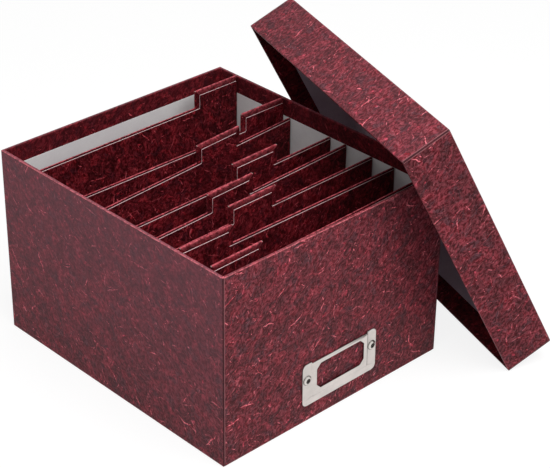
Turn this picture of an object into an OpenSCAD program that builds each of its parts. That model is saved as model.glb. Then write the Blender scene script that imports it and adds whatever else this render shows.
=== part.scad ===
// Photo storage box: a rigid board box covered in fibre paper, with eight loose index
// dividers, a metal label holder on the front and a lift-off tray lid leaning on the box.
// X runs along the front, Y to the rear, Z up. The origin is the middle of the underside.

/* [Box] */
// Outer width of the box, left to right
box_w = 200; // [160:1:260]
// Outer depth of the box, front to rear
box_d = 225; // [190:1:300]
// Outer height of the box
box_h = 142; // [115:1:180]
// Thickness of the greyboard in the box and the lid
board_t = 1.8; // [1.4:0.1:3]
// Thickness of the fibre paper
paper_t = 0.3; // [0.2:0.05:0.5]
// Thickness of the lining paper
lining_t = 0.2; // [0.1:0.05:0.4]
// How far the wrap shows inside, below the rim
rim_band = 13.3; // [8:0.1:25]
// How far the wrap runs on behind the lining
rim_lap = 6; // [3:0.5:12]
// How far the wrap is turned under the floor
turn_under = 15; // [8:0.5:25]
// Distance from the box's edge to the base sheet's edge
base_inset = 3; // [2:0.5:6]

/* [Dividers] */
// Thickness of a divider's board
divider_board_t = 1.2; // [0.8:0.1:2]
// Height of a tab above the low edge
tab_h = 13.5; // [8:0.5:20]
// Width of the tabs at the right end
right_tab_w = 41.2; // [30:0.1:50]
// Width of the middle tabs
mid_tab_w = 42.5; // [30:0.1:50]
// Width of the tabs at the left end
left_tab_w = 44.3; // [30:0.1:50]
// Left edge of the middle right tab, from the middle of the divider
mid_right_x = 0.8; // [-10:0.1:10]
// Left edge of the middle left tab, from the middle of the divider
mid_left_x = -39.5; // [-45:0.1:-30]
// Width of the wrap's edges folded on to the front of a divider
divider_fold = 9; // [6:0.5:12]
// Distance from a tab's edge to the facing
facing_tab_gap = 4; // [2:0.1:5]
// Distance from the other edges to the facing
facing_edge_gap = 1.1; // [0.6:0.1:3]
// Clearance between a divider and each side wall
divider_side_clear = 0.3; // [0.2:0.05:1]
// Clearance under a divider
divider_floor_clear = 0.2; // [0.2:0.05:0.5]
// How far the tabs stand above the rim
tab_rise = 1.2; // [-3:0.1:2]

/* [Lid] */
// Outer depth of the lid, from its rim to the top of its panel
lid_depth = 36.5; // [24:0.5:60]
// How far the wrap shows inside the lid, in from its rim
lid_band = 14.4; // [8:0.1:15]
// Clearance between the lid's skirt and the box on each side
lid_clear = 0.8; // [0.4:0.1:2]
// Turn of the leaning lid about the vertical
lid_yaw = 18.5; // [5:0.5:30]
// Angle of the leaning lid from upright
lid_tilt = 27; // [20:0.5:35]
// How far the foot of the leaning lid stands in front of the box's front face
lid_forward = 53.6; // [40:0.1:70]
// Gap where the leaning lid meets the box's corner
lid_touch_gap = 0.3; // [0.2:0.05:0.5]

/* [Label holder] */
// Width of the label holder
holder_w = 69; // [62:0.5:90]
// Height of the label holder at its ears
holder_h = 33.3; // [28:0.1:45]
// Height of the holder's lower edge above the table
holder_z = 13.3; // [8:0.1:40]
// Place of the holder's middle, right of the middle of the front
holder_x = 3.5; // [-20:0.5:20]
// How far the holder slopes up to its right end, in degrees
holder_slope = 0.7; // [-2:0.1:2]
// Thickness of the holder's metal
holder_t = 0.6; // [0.4:0.1:0.8]
// Depth of the pocket for the card
card_gap = 0.9; // [0.5:0.1:1.5]
// Width of the raised middle of the holder
pocket_w = 52; // [46:0.5:53]
// Height of the pocket's floor above the holder's lower edge
pocket_z = 5.4; // [3:0.1:8]
// How far the raised middle stops short of the ears' tops
pocket_drop = 1; // [0:0.1:3]
// Metal between the window and each side of the raised middle
window_side = 3.9; // [2:0.1:8]
// Metal between the window and the top edge of the raised middle
window_top = 2.7; // [1.5:0.1:5]
// Metal between the floor of the pocket and the window
window_bottom = 4.5; // [2:0.1:7]
// Cut across each corner of the window
window_chamfer = 3.6; // [1:0.1:5]
// Radius of the holder's outer corners
holder_r = 4; // [2:0.1:4.4]
// Height of the rivets above the holder's lower edge
rivet_z = 20.5; // [10:0.1:23]
// Diameter of a rivet's shank
shank_d = 3; // [2:0.1:4]
// Diameter of a rivet's head
head_d = 7.2; // [5:0.1:8]
// Height of a rivet's head
head_h = 1.7; // [1:0.1:2.5]
// Diameter of the hollow in the middle of a rivet's head
hollow_d = 1.9; // [1:0.1:2]
// Depth of that hollow from the top of the head
hollow_depth = 1.5; // [0.5:0.1:2]
// Diameter of a rivet's closed tail
tail_d = 5.6; // [4.5:0.1:7]
// Thickness of a rivet's closed tail
tail_t = 0.5; // [0.3:0.1:0.8]
// Clearance round a rivet's shank and tail
rivet_clear = 0.1; // [0.05:0.01:0.2]

/* [Hidden] */
DIVIDERS = [1, 2, 3, 4, 5, 6, 7, 8];

$fn = 64;
overcut = 1;
paper_colour = [0.40, 0.19, 0.22];
divider_colour = [0.30, 0.08, 0.10];
lining_colour = [0.74, 0.72, 0.72];
board_colour = [0.62, 0.60, 0.56];
metal_colour = [0.80, 0.78, 0.76];

// Where each divider stands, as a fraction of the inside from the rear wall to the front wall
divider_fraction = [0.0873, 0.3112, 0.3812, 0.5442, 0.6267, 0.7261, 0.8137, 0.9324];
// How far each loose divider has turned about the vertical, in degrees
divider_yaw = [0.3, 0, 4.5, 1.65, 3.1, 1.2, 0.3, 1.9];
// Where each divider has its tab
divider_tab = ["right", "right", "mid_right", "mid_right", "mid_left", "mid_left", "left", "left"];

wall_t = board_t + 2 * paper_t;
inner_w = box_w - 2 * (wall_t + lining_t);
inner_d = box_d - 2 * (wall_t + lining_t);
under_z = 2 * paper_t;
floor_z = under_z + board_t;
floor_top = floor_z + lining_t;
board_top = box_h - paper_t;
band_z = box_h - rim_band;

divider_w = inner_w - 2 * divider_side_clear;
divider_z = floor_top + divider_floor_clear;
divider_top = box_h + tab_rise - divider_z;
divider_low = divider_top - tab_h;
divider_core_t = divider_board_t + 2 * paper_t;
divider_full_t = divider_core_t + lining_t;

lid_wall_t = board_t + 2 * paper_t;
lid_w = box_w + 2 * (lid_clear + lid_wall_t);
lid_d = box_d + 2 * (lid_clear + lid_wall_t);
lid_under = lid_depth - paper_t - board_t;
lid_ceiling = lid_under - lining_t;

// The leaning lid stands on the rim of its right skirt and its panel rests on the box's corner
lid_foot_y = -box_d / 2 - lid_forward;
lid_reach = sin(lid_tilt) * box_h - (lid_ceiling - lid_touch_gap);
lid_foot_x = box_w / 2 - tan(lid_yaw) * lid_forward + lid_reach / (cos(lid_tilt) * cos(lid_yaw));

pocket_h = holder_h - pocket_drop - pocket_z;
rivet_x = (holder_w + pocket_w) / 4;
holder_front = card_gap + holder_t;
head_ball_r = (head_d * head_d / 4 + head_h * head_h) / (2 * head_h);

// A block centred in X and Y, from height z0 to z1
module slab(w, d, z0, z1) {
    translate([-w / 2, -d / 2, z0])
        cube([w, d, z1 - z0]);
}

// A square tube centred in X and Y, with walls of thickness t inside w by d
module ring(w, d, t, z0, z1) {
    difference() {
        slab(w, d, z0, z1);
        slab(w - 2 * t, d - 2 * t, z0 - overcut, z1 + overcut);
    }
}

// Two boards across the ends of a tray, or the two boards that fit between them
module end_board(w, d, t, z0, z1, side) {
    translate([0, side * (d - t) / 2, 0])
        slab(w, t, z0, z1);
}

module side_board(w, d, t, z0, z1, side) {
    translate([side * (w - t) / 2, 0, 0])
        slab(t, d - 2 * t, z0, z1);
}

// Moves children from holder coordinates (x right, y up, z out) to the front of the box
module on_front() {
    translate([holder_x, -box_d / 2, holder_z + holder_h / 2])
        rotate([90, 0, 0])
            rotate([0, 0, holder_slope])
                translate([0, -holder_h / 2, 0])
                    children();
}

module rivet_hole(d, z0, z1) {
    for (side = [-1, 1])
        translate([side * rivet_x, rivet_z, z0])
            cylinder(h = z1 - z0, d = d);
}

/* Box */

module box_floor_board() {
    color(board_colour)
        slab(box_w - 2 * (paper_t + board_t), box_d - 2 * (paper_t + board_t), under_z, floor_z);
}

module box_front_board() {
    color(board_colour)
        difference() {
            end_board(box_w - 2 * paper_t, box_d - 2 * paper_t, board_t, under_z, board_top, -1);
            on_front() {
                rivet_hole(shank_d + 2 * rivet_clear, -wall_t - overcut, overcut);
                rivet_hole(tail_d + 2 * rivet_clear, -wall_t, tail_t + rivet_clear - paper_t - board_t);
            }
        }
}

module box_rear_board() {
    color(board_colour)
        end_board(box_w - 2 * paper_t, box_d - 2 * paper_t, board_t, under_z, board_top, 1);
}

module box_left_board() {
    color(board_colour)
        side_board(box_w - 2 * paper_t, box_d - 2 * paper_t, board_t, under_z, board_top, -1);
}

module box_right_board() {
    color(board_colour)
        side_board(box_w - 2 * paper_t, box_d - 2 * paper_t, board_t, under_z, board_top, 1);
}

// Outside sheet, rim, band turned down inside and edges turned under the floor
module box_wrap() {
    color(paper_colour)
        difference() {
            union() {
                ring(box_w, box_d, paper_t, paper_t, box_h);
                ring(box_w, box_d, wall_t, board_top, box_h);
                ring(box_w - 2 * (wall_t - paper_t), box_d - 2 * (wall_t - paper_t), paper_t,
                    band_z - rim_lap, box_h);
                ring(box_w, box_d, turn_under, paper_t, under_z);
            }
            on_front() rivet_hole(shank_d + 2 * rivet_clear, -wall_t, overcut);
        }
}

// Sheet under the floor, thicker in the middle where no wrap lies above it
module box_base_sheet() {
    color(paper_colour) {
        slab(box_w - 2 * base_inset, box_d - 2 * base_inset, 0, paper_t);
        slab(box_w - 2 * turn_under, box_d - 2 * turn_under, 0, under_z);
    }
}

// Lining on the walls: against the boards at the bottom, over the wrap's turned-in edge above
module box_wall_lining() {
    color(lining_colour) {
        ring(box_w - 2 * wall_t, box_d - 2 * wall_t, lining_t, floor_z, band_z);
        ring(box_w - 2 * (wall_t - paper_t), box_d - 2 * (wall_t - paper_t), paper_t + lining_t,
            floor_z, band_z - rim_lap);
    }
}

module box_floor_lining() {
    color(lining_colour)
        slab(inner_w, inner_d, floor_z, floor_top);
}

/* Label holder */

module round_plate(w, h, r) {
    translate([-w / 2 + r, 0])
        square([w - 2 * r, h]);
    translate([-w / 2, r])
        square([w, h - 2 * r]);
    for (x = [-w / 2 + r, w / 2 - r], y = [r, h - r])
        translate([x, y])
            circle(r);
}

module window_shape() {
    a = pocket_w / 2 - window_side;
    h = pocket_h - window_bottom - window_top;
    c = window_chamfer;
    translate([0, pocket_z + window_bottom])
        polygon([
            [-a + c, 0], [a - c, 0], [a, c], [a, h - c],
            [a - c, h], [-a + c, h], [-a, h - c], [-a, c]
        ]);
}

module pocket_shape(inset) {
    translate([-pocket_w / 2 + inset, pocket_z + inset])
        square([pocket_w - 2 * inset, pocket_h - inset]);
}

module label_holder() {
    color(metal_colour)
        on_front()
            difference() {
                union() {
                    // Ears and lower edge, flat on the box
                    linear_extrude(holder_t)
                        difference() {
                            round_plate(holder_w, holder_h, holder_r);
                            translate([-pocket_w / 2, pocket_z])
                                square([pocket_w, holder_h]);
                        }
                    // Sides and floor of the card pocket
                    linear_extrude(holder_front)
                        difference() {
                            pocket_shape(0);
                            translate([0, overcut])
                                pocket_shape(holder_t);
                            pocket_shape(holder_t);
                        }
                    // Front of the pocket, with its window
                    translate([0, 0, card_gap])
                        linear_extrude(holder_t)
                            difference() {
                                pocket_shape(0);
                                window_shape();
                            }
                }
                rivet_hole(shank_d + 2 * rivet_clear, -overcut, overcut);
            }
}

// Round hollow head, shank through the holder, the paper and the board, and closed tail
module rivet(side) {
    shank_l = holder_t + paper_t + board_t;
    color(metal_colour)
        on_front()
            translate([side * rivet_x, rivet_z, holder_t])
                difference() {
                    rotate_extrude() {
                        intersection() {
                            translate([0, head_h - head_ball_r])
                                circle(head_ball_r);
                            square([head_d / 2, head_h]);
                        }
                        translate([0, -shank_l])
                            square([shank_d / 2, shank_l + head_h / 2]);
                        translate([0, -shank_l])
                            square([tail_d / 2, tail_t]);
                    }
                    translate([0, 0, head_h - hollow_depth])
                        cylinder(h = hollow_depth + overcut, d = hollow_d);
                }
}

/* Dividers */

function tab_w(spot) = spot == "right" ? right_tab_w : spot == "left" ? left_tab_w : mid_tab_w;
function tab_from(spot) =
    spot == "right" ? divider_w / 2 - right_tab_w :
    spot == "mid_right" ? mid_right_x :
    spot == "mid_left" ? mid_left_x : -divider_w / 2;
function divider_y(i) = inner_d / 2 - divider_fraction[i - 1] * inner_d;

// Outline of a divider in x and z, drawn in from its edges by the given margins
module divider_shape(spot, end_gap, low_gap, tab_gap) {
    a = tab_from(spot) + (spot == "left" ? end_gap : tab_gap);
    b = tab_from(spot) + tab_w(spot) - (spot == "right" ? end_gap : tab_gap);
    translate([-divider_w / 2 + end_gap, end_gap])
        square([divider_w - 2 * end_gap, divider_low - low_gap - end_gap]);
    translate([a, end_gap])
        square([b - a, divider_top - tab_gap - end_gap]);
}

// Sheet of a divider from y0 to y1, where y is measured back from its front
module divider_layer(i, y0, y1, end_gap, low_gap, tab_gap) {
    translate([0, divider_y(i), divider_z])
        rotate([0, 0, divider_yaw[i - 1]])
            translate([0, -divider_full_t / 2 + y1, 0])
                rotate([90, 0, 0])
                    linear_extrude(y1 - y0)
                        divider_shape(divider_tab[i - 1], end_gap, low_gap, tab_gap);
}

module divider_board(i) {
    y0 = lining_t + paper_t;
    color(board_colour)
        divider_layer(i, y0, y0 + divider_board_t, paper_t, paper_t, paper_t);
}

// Paper on the back of the board, folded round its edges on to the front
module divider_wrap(i) {
    y0 = lining_t + paper_t;
    color(divider_colour)
        difference() {
            divider_layer(i, lining_t, divider_full_t, 0, 0, 0);
            divider_layer(i, y0, y0 + divider_board_t, paper_t, paper_t, paper_t);
            divider_layer(i, 0, y0 + divider_board_t / 2, divider_fold, divider_fold, divider_fold);
        }
}

// Paper on the front of the board, over the folded edges of the wrap
module divider_facing(i) {
    color(divider_colour) {
        divider_layer(i, 0, lining_t, facing_edge_gap, facing_edge_gap, facing_tab_gap);
        divider_layer(i, 0, lining_t + paper_t, divider_fold, divider_fold, divider_fold);
    }
}

/* Lid, drawn as if it lay on the box with its rim at z = 0, then leant */

module leaning() {
    translate([lid_foot_x, lid_foot_y, 0])
        rotate([0, 90 - lid_tilt, -lid_yaw])
            translate([-lid_w / 2, lid_d / 2, 0])
                children();
}

module lid_panel_board() {
    color(board_colour)
        leaning() slab(lid_w - 2 * paper_t, lid_d - 2 * paper_t, lid_under, lid_depth - paper_t);
}

module lid_end(side) {
    color(board_colour)
        leaning() end_board(lid_w - 2 * paper_t, lid_d - 2 * paper_t, board_t, paper_t, lid_under, side);
}

module lid_side(side) {
    color(board_colour)
        leaning() side_board(lid_w - 2 * paper_t, lid_d - 2 * paper_t, board_t, paper_t, lid_under, side);
}

// Sheet over the panel and the skirts, turned over the rim and on to the skirts' inner faces
module lid_wrap() {
    color(paper_colour)
        leaning() {
            slab(lid_w, lid_d, lid_depth - paper_t, lid_depth);
            ring(lid_w, lid_d, paper_t, 0, lid_depth);
            ring(lid_w, lid_d, lid_wall_t, 0, paper_t);
            ring(lid_w - 2 * (lid_wall_t - paper_t), lid_d - 2 * (lid_wall_t - paper_t), paper_t,
                0, lid_band + rim_lap);
        }
}

// Lining under the panel and down the skirts, over the wrap's turned-in edge
module lid_lining() {
    color(lining_colour)
        leaning() {
            slab(lid_w - 2 * lid_wall_t, lid_d - 2 * lid_wall_t, lid_ceiling, lid_under);
            ring(lid_w - 2 * lid_wall_t, lid_d - 2 * lid_wall_t, lining_t, lid_band, lid_under);
            ring(lid_w - 2 * (lid_wall_t - paper_t), lid_d - 2 * (lid_wall_t - paper_t), paper_t + lining_t,
                lid_band + rim_lap, lid_under);
        }
}

box_floor_board();
box_front_board();
box_rear_board();
box_left_board();
box_right_board();
box_wrap();
box_base_sheet();
box_wall_lining();
box_floor_lining();
label_holder();
rivet(-1);  // label_rivet_left
rivet(1);  // label_rivet_right
for (i = DIVIDERS) {
    divider_board(i);
    divider_wrap(i);
    divider_facing(i);
}
lid_panel_board();
lid_end(-1);  // lid_front_board
lid_end(1);  // lid_rear_board
lid_side(-1);  // lid_left_board
lid_side(1);  // lid_right_board
lid_wrap();
lid_lining();
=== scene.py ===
"""Looks of the photo storage box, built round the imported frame.

A sheet of paper is a closed thin solid, so a fold is a rounded edge and a cut edge is a face."""

import math
import random
from collections import namedtuple

import bpy
import bmesh
from mathutils import Matrix, Vector
from mathutils.geometry import delaunay_2d_cdt


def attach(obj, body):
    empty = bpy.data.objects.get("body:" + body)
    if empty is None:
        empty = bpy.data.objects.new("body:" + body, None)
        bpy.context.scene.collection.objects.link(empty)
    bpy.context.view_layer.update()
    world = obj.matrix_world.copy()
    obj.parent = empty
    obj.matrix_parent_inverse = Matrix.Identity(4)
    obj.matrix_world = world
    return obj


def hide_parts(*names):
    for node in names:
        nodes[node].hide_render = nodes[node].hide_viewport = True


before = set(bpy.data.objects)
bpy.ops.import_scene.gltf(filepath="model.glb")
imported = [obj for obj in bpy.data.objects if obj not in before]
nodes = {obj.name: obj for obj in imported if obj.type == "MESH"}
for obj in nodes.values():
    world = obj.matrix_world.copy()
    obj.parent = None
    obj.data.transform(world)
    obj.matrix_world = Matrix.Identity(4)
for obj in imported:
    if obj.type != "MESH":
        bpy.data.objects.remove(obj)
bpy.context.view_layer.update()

MM = 0.001
NEAR = 0.02  # places nearer than this, in millimetres, are on one face
SAME = 0.0001  # and points nearer than this are one
DIVIDERS = [f"divider_{k}" for k in range(1, 9)]
UPRIGHT = Matrix.Identity(3)
scene = bpy.context.scene
dice = random.Random(11)


# ---- reading the frame

def largest_normal(node):
    """Normal of the largest face of a CAD node."""
    return max(nodes[node].data.polygons, key=lambda p: p.area).normal.copy()


def axes_matrix(x, y, z):
    """Matrix whose columns are the given axes: own axes to frame axes."""
    return Matrix((x, y, z)).transposed()


def own_points(node, axes=UPRIGHT):
    """A CAD node's vertices in its own axes, in millimetres."""
    turn = axes.transposed()
    return [turn @ v.co / MM for v in nodes[node].data.vertices]


def extent(points):
    """Lowest and highest corner of some points."""
    lo = Vector(min(p[k] for p in points) for k in range(3))
    hi = Vector(max(p[k] for p in points) for k in range(3))
    return lo, hi


def node_extent(node, axes=UPRIGHT):
    return extent(own_points(node, axes))


box_lo, box_hi = node_extent("box_wrap")
board_lo, board_hi = node_extent("box_left_board")
paper_t = board_lo.x - box_lo.x
board_t = board_hi.x - board_lo.x
wall_t = board_t + 2 * paper_t


def add_object(name, data):
    """A new object in the scene."""
    made = bpy.data.objects.new(name, data)
    scene.collection.objects.link(made)
    return made


# ---- outlines

LEAST_R = 0.05  # least radius of a rounded corner


def rounded(corners, inset=0.0, segments=4):
    """Points round a polygon whose corners (x, y, radius) run anticlockwise, drawn in by inset.
    Any two insets give as many points, so their loops can be joined."""
    points = []
    for k, (x, y, radius) in enumerate(corners):
        here = Vector((x, y))
        a = (here - Vector(corners[k - 1][:2])).normalized()
        b = (Vector(corners[(k + 1) % len(corners)][:2]) - here).normalized()
        out_a, out_b = Vector((a.y, -a.x)), Vector((b.y, -b.x))
        mitre = (out_a + out_b) / (1 + out_a.dot(out_b))
        side = 1 if a.cross(b) > 0 else -1
        radius = max(radius - inset, LEAST_R) if side > 0 else radius + inset
        centre = here - inset * mitre - side * radius * mitre
        start = math.atan2(side * out_a.y, side * out_a.x)
        turn = out_a.angle_signed(out_b)
        for s in range(segments + 1):
            angle = start - turn * s / segments
            points.append(centre + radius * Vector((math.cos(angle), math.sin(angle))))
    return points


def outward(outline):
    """Outward normals of an anticlockwise outline, one for each point."""
    count = len(outline)
    runs = [outline[(k + 1) % count] - outline[k - 1] for k in range(count)]
    return [Vector((run.y, -run.x)).normalized() for run in runs]


def inside(point, outline):
    """Whether a point lies in an outline."""
    hit = False
    for a, b in zip(outline, outline[1:] + outline[:1]):
        if (a.y > point.y) != (b.y > point.y):
            hit ^= point.x < a.x + (point.y - a.y) / (b.y - a.y) * (b.x - a.x)
    return hit


def quarter(radius, count=4):
    """Points of a quarter circle from (radius, 0) to (0, radius), measured from the sharp corner."""
    turns = [math.pi / 2 * s / count for s in range(count + 1)]
    return [(radius * (1 - math.sin(t)), radius * (1 - math.cos(t))) for t in turns]


def path_lengths(rows):
    """How far each row's place, its first two values, lies from the first's along the line through them."""
    lengths = [0.0]
    for a, b in zip(rows, rows[1:]):
        lengths.append(lengths[-1] + math.hypot(b[0] - a[0], b[1] - a[1]))
    return lengths


def along_grain(u, v, grain):
    """A place on a sheet, as distances along and across the paper's grain, which is in degrees from u."""
    angle = math.radians(grain)
    return (u * math.cos(angle) + v * math.sin(angle), v * math.cos(angle) - u * math.sin(angle))


# ---- pieces

PAPER, CUT, INNER_SIDE = 0, 1, 2  # kinds of face: their places in a piece's list of materials


class Piece:
    """Collects points, faces, paper coordinates and marks, and makes one object of them.
    The first mark is how far an edge is rubbed pale, which is wear and painted highlight, or how far metal is
    darkened, mostly painted shade, shadow and dark reflection; below 0 it is how dark a seam is, and in folds
    painted shade.
    The second mark is how far the paper is greyed by a painted sheen."""

    def __init__(self, name):
        self.name = name
        self.points, self.wear, self.painted_sheen = [], [], []
        self.faces, self.paper, self.kinds = [], [], []

    def point(self, place, wear=0.0, painted_sheen=0.0):
        self.points.append(Vector(place))
        self.wear.append(wear)
        self.painted_sheen.append(painted_sheen)
        return len(self.points) - 1

    def loop(self, places, wear=0.0, painted_sheen=0.0):
        wear_and_shading_values = wear if isinstance(wear, list) else [wear] * len(places)
        painted_sheens = painted_sheen if isinstance(painted_sheen, list) else [painted_sheen] * len(places)
        return [self.point(*values) for values in zip(places, wear_and_shading_values, painted_sheens)]

    def face(self, corners, paper, kind=PAPER):
        self.faces.append(corners)
        self.paper.append(paper)
        self.kinds.append(kind)

    def bridge(self, one, two, paper_one, paper_two, kind=PAPER):
        """Quads between two closed loops of as many points."""
        count = len(one)
        for i in range(count):
            j = (i + 1) % count
            corners = [one[i], one[j], two[j], two[i]]
            self.face(corners, [paper_one[i], paper_one[j], paper_two[j], paper_two[i]], kind)

    def skin(self, loops, papers, cut_after=None):
        """Quads from each loop to the next, and a face over the first and the last loop.
        cut_after is the loop whose quads are a cut edge."""
        self.face(loops[0], papers[0])
        for j in range(len(loops) - 1):
            self.bridge(loops[j], loops[j + 1], papers[j], papers[j + 1], CUT if j == cut_after else PAPER)
        self.face(loops[-1], papers[-1])

    def finish(self, axes, body, node, slot, materials, shift=(0.0, 0.0), grain=0.0):
        """Makes the object in metres, in place of a CAD node.
        shift moves the paper's pattern, in millimetres, and grain turns it."""
        mesh = bpy.data.meshes.new(self.name)
        mesh.from_pydata([axes @ p * MM for p in self.points], [], self.faces)
        spots = [along_grain(p[0], p[1], grain) for face in self.paper for p in face]
        flat = [(value + move) * MM for spot in spots for value, move in zip(spot, shift)]
        mesh.uv_layers.new(name="paper").data.foreach_set("uv", flat)
        for name, values in (("wear", self.wear), ("painted_sheen", self.painted_sheen)):
            mesh.attributes.new(name, "FLOAT", "POINT").data.foreach_set("value", values)
        mesh.polygons.foreach_set("material_index", self.kinds)
        mesh.polygons.foreach_set("use_smooth", [True] * len(self.faces))
        for material in materials:
            mesh.materials.append(material)
        work = bmesh.new()
        work.from_mesh(mesh)
        bmesh.ops.remove_doubles(work, verts=work.verts, dist=SAME * MM)
        bmesh.ops.recalc_face_normals(work, faces=work.faces)
        work.to_mesh(mesh)
        work.free()
        made = add_object(self.name, mesh)
        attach(made, body)
        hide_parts(node)


# ---- trays: the box's wrap and the lid's

LAP_FOOT = 1.0  # where a lapped sheet's cut edge meets the sheet under it, from the corner
LAP_TOP = 1.5  # where it reaches the face
LAP_DEPTH = 0.15  # how far the sheet under it lies back
CORNER_R = 0.5  # radius of an upright corner
CORNER_RUN = CORNER_R * math.pi / 2  # length of the paper round it
INNER_R = 0.1  # least radius of that corner on the inside
CLOSE_STATIONS = (0.7, LAP_FOOT, LAP_TOP, 2.0, 4.0)  # edges beside a corner, from it
EASE = 24.0  # stations nearer a corner than this move along with the mitre
STATION = 14.0  # distance between the others, and between loops up a wall
SHEET_STEP = 300.0  # shift of the paper's pattern from one side to the next
RIM_R = 0.6  # rounding of the paper over a board's edge
RIM_RUB = (0.0, 0.4, 1.0, 0.7, 0.3)  # wear and painted highlight over that rounding, from the face to the top
RIM_TOP_RUB = 0.12  # wear in the middle of a rim
INNER_RUB = 0.5  # share of RIM_RUB over its inner rounding
FOOT_RUB = 0.35  # wear over the box's lower edges
HOLD = 0.5  # a flat face's edge loop lies so far from a rounded edge

# A loop of a tray: how far inside its faces, how high, whether the paper's laps show there, its wear and
# painted highlight, and the kind of the faces after it.
Row = namedtuple("Row", "inset height lap wear kind", defaults=(False, 0.0, PAPER))

# Runs of a tray's front, right, rear and left sides. The next side's run points inward.
ALONG = [Vector((1, 0)), Vector((0, 1)), Vector((-1, 0)), Vector((0, -1))]


def side_stations(length):
    """Distances along a side at which a tray has an edge."""
    count = round((length - 2 * EASE) / STATION)
    middle = [EASE + (length - 2 * EASE) * k / count for k in range(count + 1)]
    return list(CLOSE_STATIONS) + middle + [length - t for t in reversed(CLOSE_STATIONS)]


def tray_loop(half_w, half_d, row, lapped, corner_steps=4):
    """One loop round a tray: its places, and each one's side and run along the paper.
    lapped holds the sides, 0 front, 1 right, 2 rear, 3 left, whose paper ends at a cut edge."""
    d = row.inset
    radius = max(CORNER_R - d, INNER_R)
    backs = [LAP_DEPTH if row.lap and k in lapped else 0.0 for k in range(4)]
    places, runs = [], []
    for k in range(4):
        after = (k + 1) % 4
        along, inward, next_inward = ALONG[k], ALONG[after], ALONG[(k + 2) % 4]
        half_run, half_across = (half_w, half_d) if k % 2 == 0 else (half_d, half_w)
        length = 2 * half_run
        start = -half_run * along - half_across * inward
        for t in side_stations(length):
            q = min(t, length - t)
            moved = q + max(0.0, d * (1 - q / EASE))
            depth = backs[k] if q < LAP_TOP - NEAR else 0.0
            run = moved if t < length / 2 else length - moved
            places.append(start + along * run + inward * (d + depth))
            runs.append((k, t))
        centre = start + along * length
        centre += inward * (d + backs[k] + radius) + next_inward * (d + backs[after] + radius)
        for s in range(corner_steps + 1):
            angle = math.pi / 2 * s / corner_steps
            places.append(centre - radius * (inward * math.cos(angle) + next_inward * math.sin(angle)))
            runs.append((k, length + radius * angle))
    return [Vector((p.x, p.y, row.height)) for p in places], runs


def side_value(values, k, beyond):
    """Side k's value, which blends into the next side's as far as a place is beyond its end."""
    share = min(max(beyond, 0.0) / CORNER_RUN, 1.0)
    return values[k] * (1 - share) + values[(k + 1) % 4] * share


def is_cut_edge(length, u0, u1):
    """Whether the stretch between two runs along a side is the cut edge of a lapped sheet."""
    near, far = sorted(min(u, length - u) for u in (u0, u1))
    return LAP_FOOT - NEAR < near and far < LAP_TOP + NEAR


def tray(piece, half_w, half_d, rows, lapped, rub_and_highlight, painted_sheen, grains, foot_sheen=1.0):
    """Sweeps rows round a tray, and gives its loops.
    The per-side tuples hold the edge wear with painted highlight, the grey of a painted sheen, and the grain
    direction of the front, right, rear and left sides. The last argument is the share of that painted sheen
    left at the lowest row, so the sides are painted darker towards the foot."""
    lengths = (2 * half_w, 2 * half_d) * 2
    low, high = min(row.height for row in rows), max(row.height for row in rows)
    loops, runs_of = [], []
    for row in rows:
        places, runs = tray_loop(half_w, half_d, row, lapped)
        # painted sheen, less of it low down: the sides are painted darker towards the foot
        share = foot_sheen + (1 - foot_sheen) * (row.height - low) / (high - low)
        wear_and_shading_values, painted_sheens = [], []
        for k, t in runs:
            beyond = t - lengths[k]
            beside_lap = k in lapped or beyond > 0 and (k + 1) % 4 in lapped
            # a darkened strip under each lap's cut edge; pale edges are wear and painted highlight, set side
            # by side
            seam_and_shade = 1.0 if row.lap and beside_lap and min(t, -beyond) < LAP_FOOT + NEAR else 0.0
            wear_and_highlight = 1.0 if row.wear and beyond > 0 else row.wear
            wear_and_shading_values.append(wear_and_highlight * side_value(rub_and_highlight, k, beyond) - seam_and_shade)
            painted_sheens.append(share * side_value(painted_sheen, k, beyond))
        loops.append(piece.loop(places, wear_and_shading_values, painted_sheens))
        runs_of.append(runs)
    drops = path_lengths(rows)
    for j in range(len(rows) - 1):
        v0, v1 = drops[j], drops[j + 1]
        for i, (k, u0) in enumerate(runs_of[j]):
            n = (i + 1) % len(loops[j])
            next_k, u1 = runs_of[j][n]
            if next_k != k:
                u1 = lengths[k] + CORNER_RUN + CLOSE_STATIONS[0]
            has_cut = rows[j].lap and rows[j + 1].lap and k in lapped and is_cut_edge(lengths[k], u0, u1)
            corners = [loops[j][i], loops[j][n], loops[j + 1][n], loops[j + 1][i]]
            spots = ((u0, v0), (u1, v0), (u1, v1), (u0, v1))
            paper = [along_grain(u + SHEET_STEP * k, v, grains[k]) for u, v in spots]
            piece.face(corners, paper, CUT if has_cut else rows[j].kind)
    return loops


def steps(start, end):
    """Heights from start to end, both left out, about a station apart."""
    count = max(1, round(abs(end - start) / STATION))
    return [start + (end - start) * k / count for k in range(1, count)]


def rim_rows(top, up, inner_end):
    """Rows over a rim, from its outside at inset 0 to its inside. up is 1 for a rim at the top, -1 below."""
    flat = top - up * (RIM_R + HOLD)
    rows = [Row(0.0, flat, lap=True)]
    rows += [Row(d, top - up * z, d < RIM_R / 2, rub_and_highlight) for (z, d), rub_and_highlight in zip(quarter(RIM_R), RIM_RUB)]
    rows += [Row(wall_t / 2, top, False, RIM_TOP_RUB)]
    rows += [Row(wall_t - d, top - up * z, False, INNER_RUB * rub_and_highlight, INNER_SIDE)
             for (d, z), rub_and_highlight in zip(quarter(RIM_R), reversed(RIM_RUB))]
    rows += [Row(wall_t, z, kind=INNER_SIDE) for z in [flat] + steps(flat, inner_end) + [inner_end]]
    under = top - up * paper_t
    back = ((wall_t - paper_t, inner_end), (wall_t - paper_t, under), (paper_t, under))
    return rows + [Row(inset, z, kind=INNER_SIDE) for inset, z in back]


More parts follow.
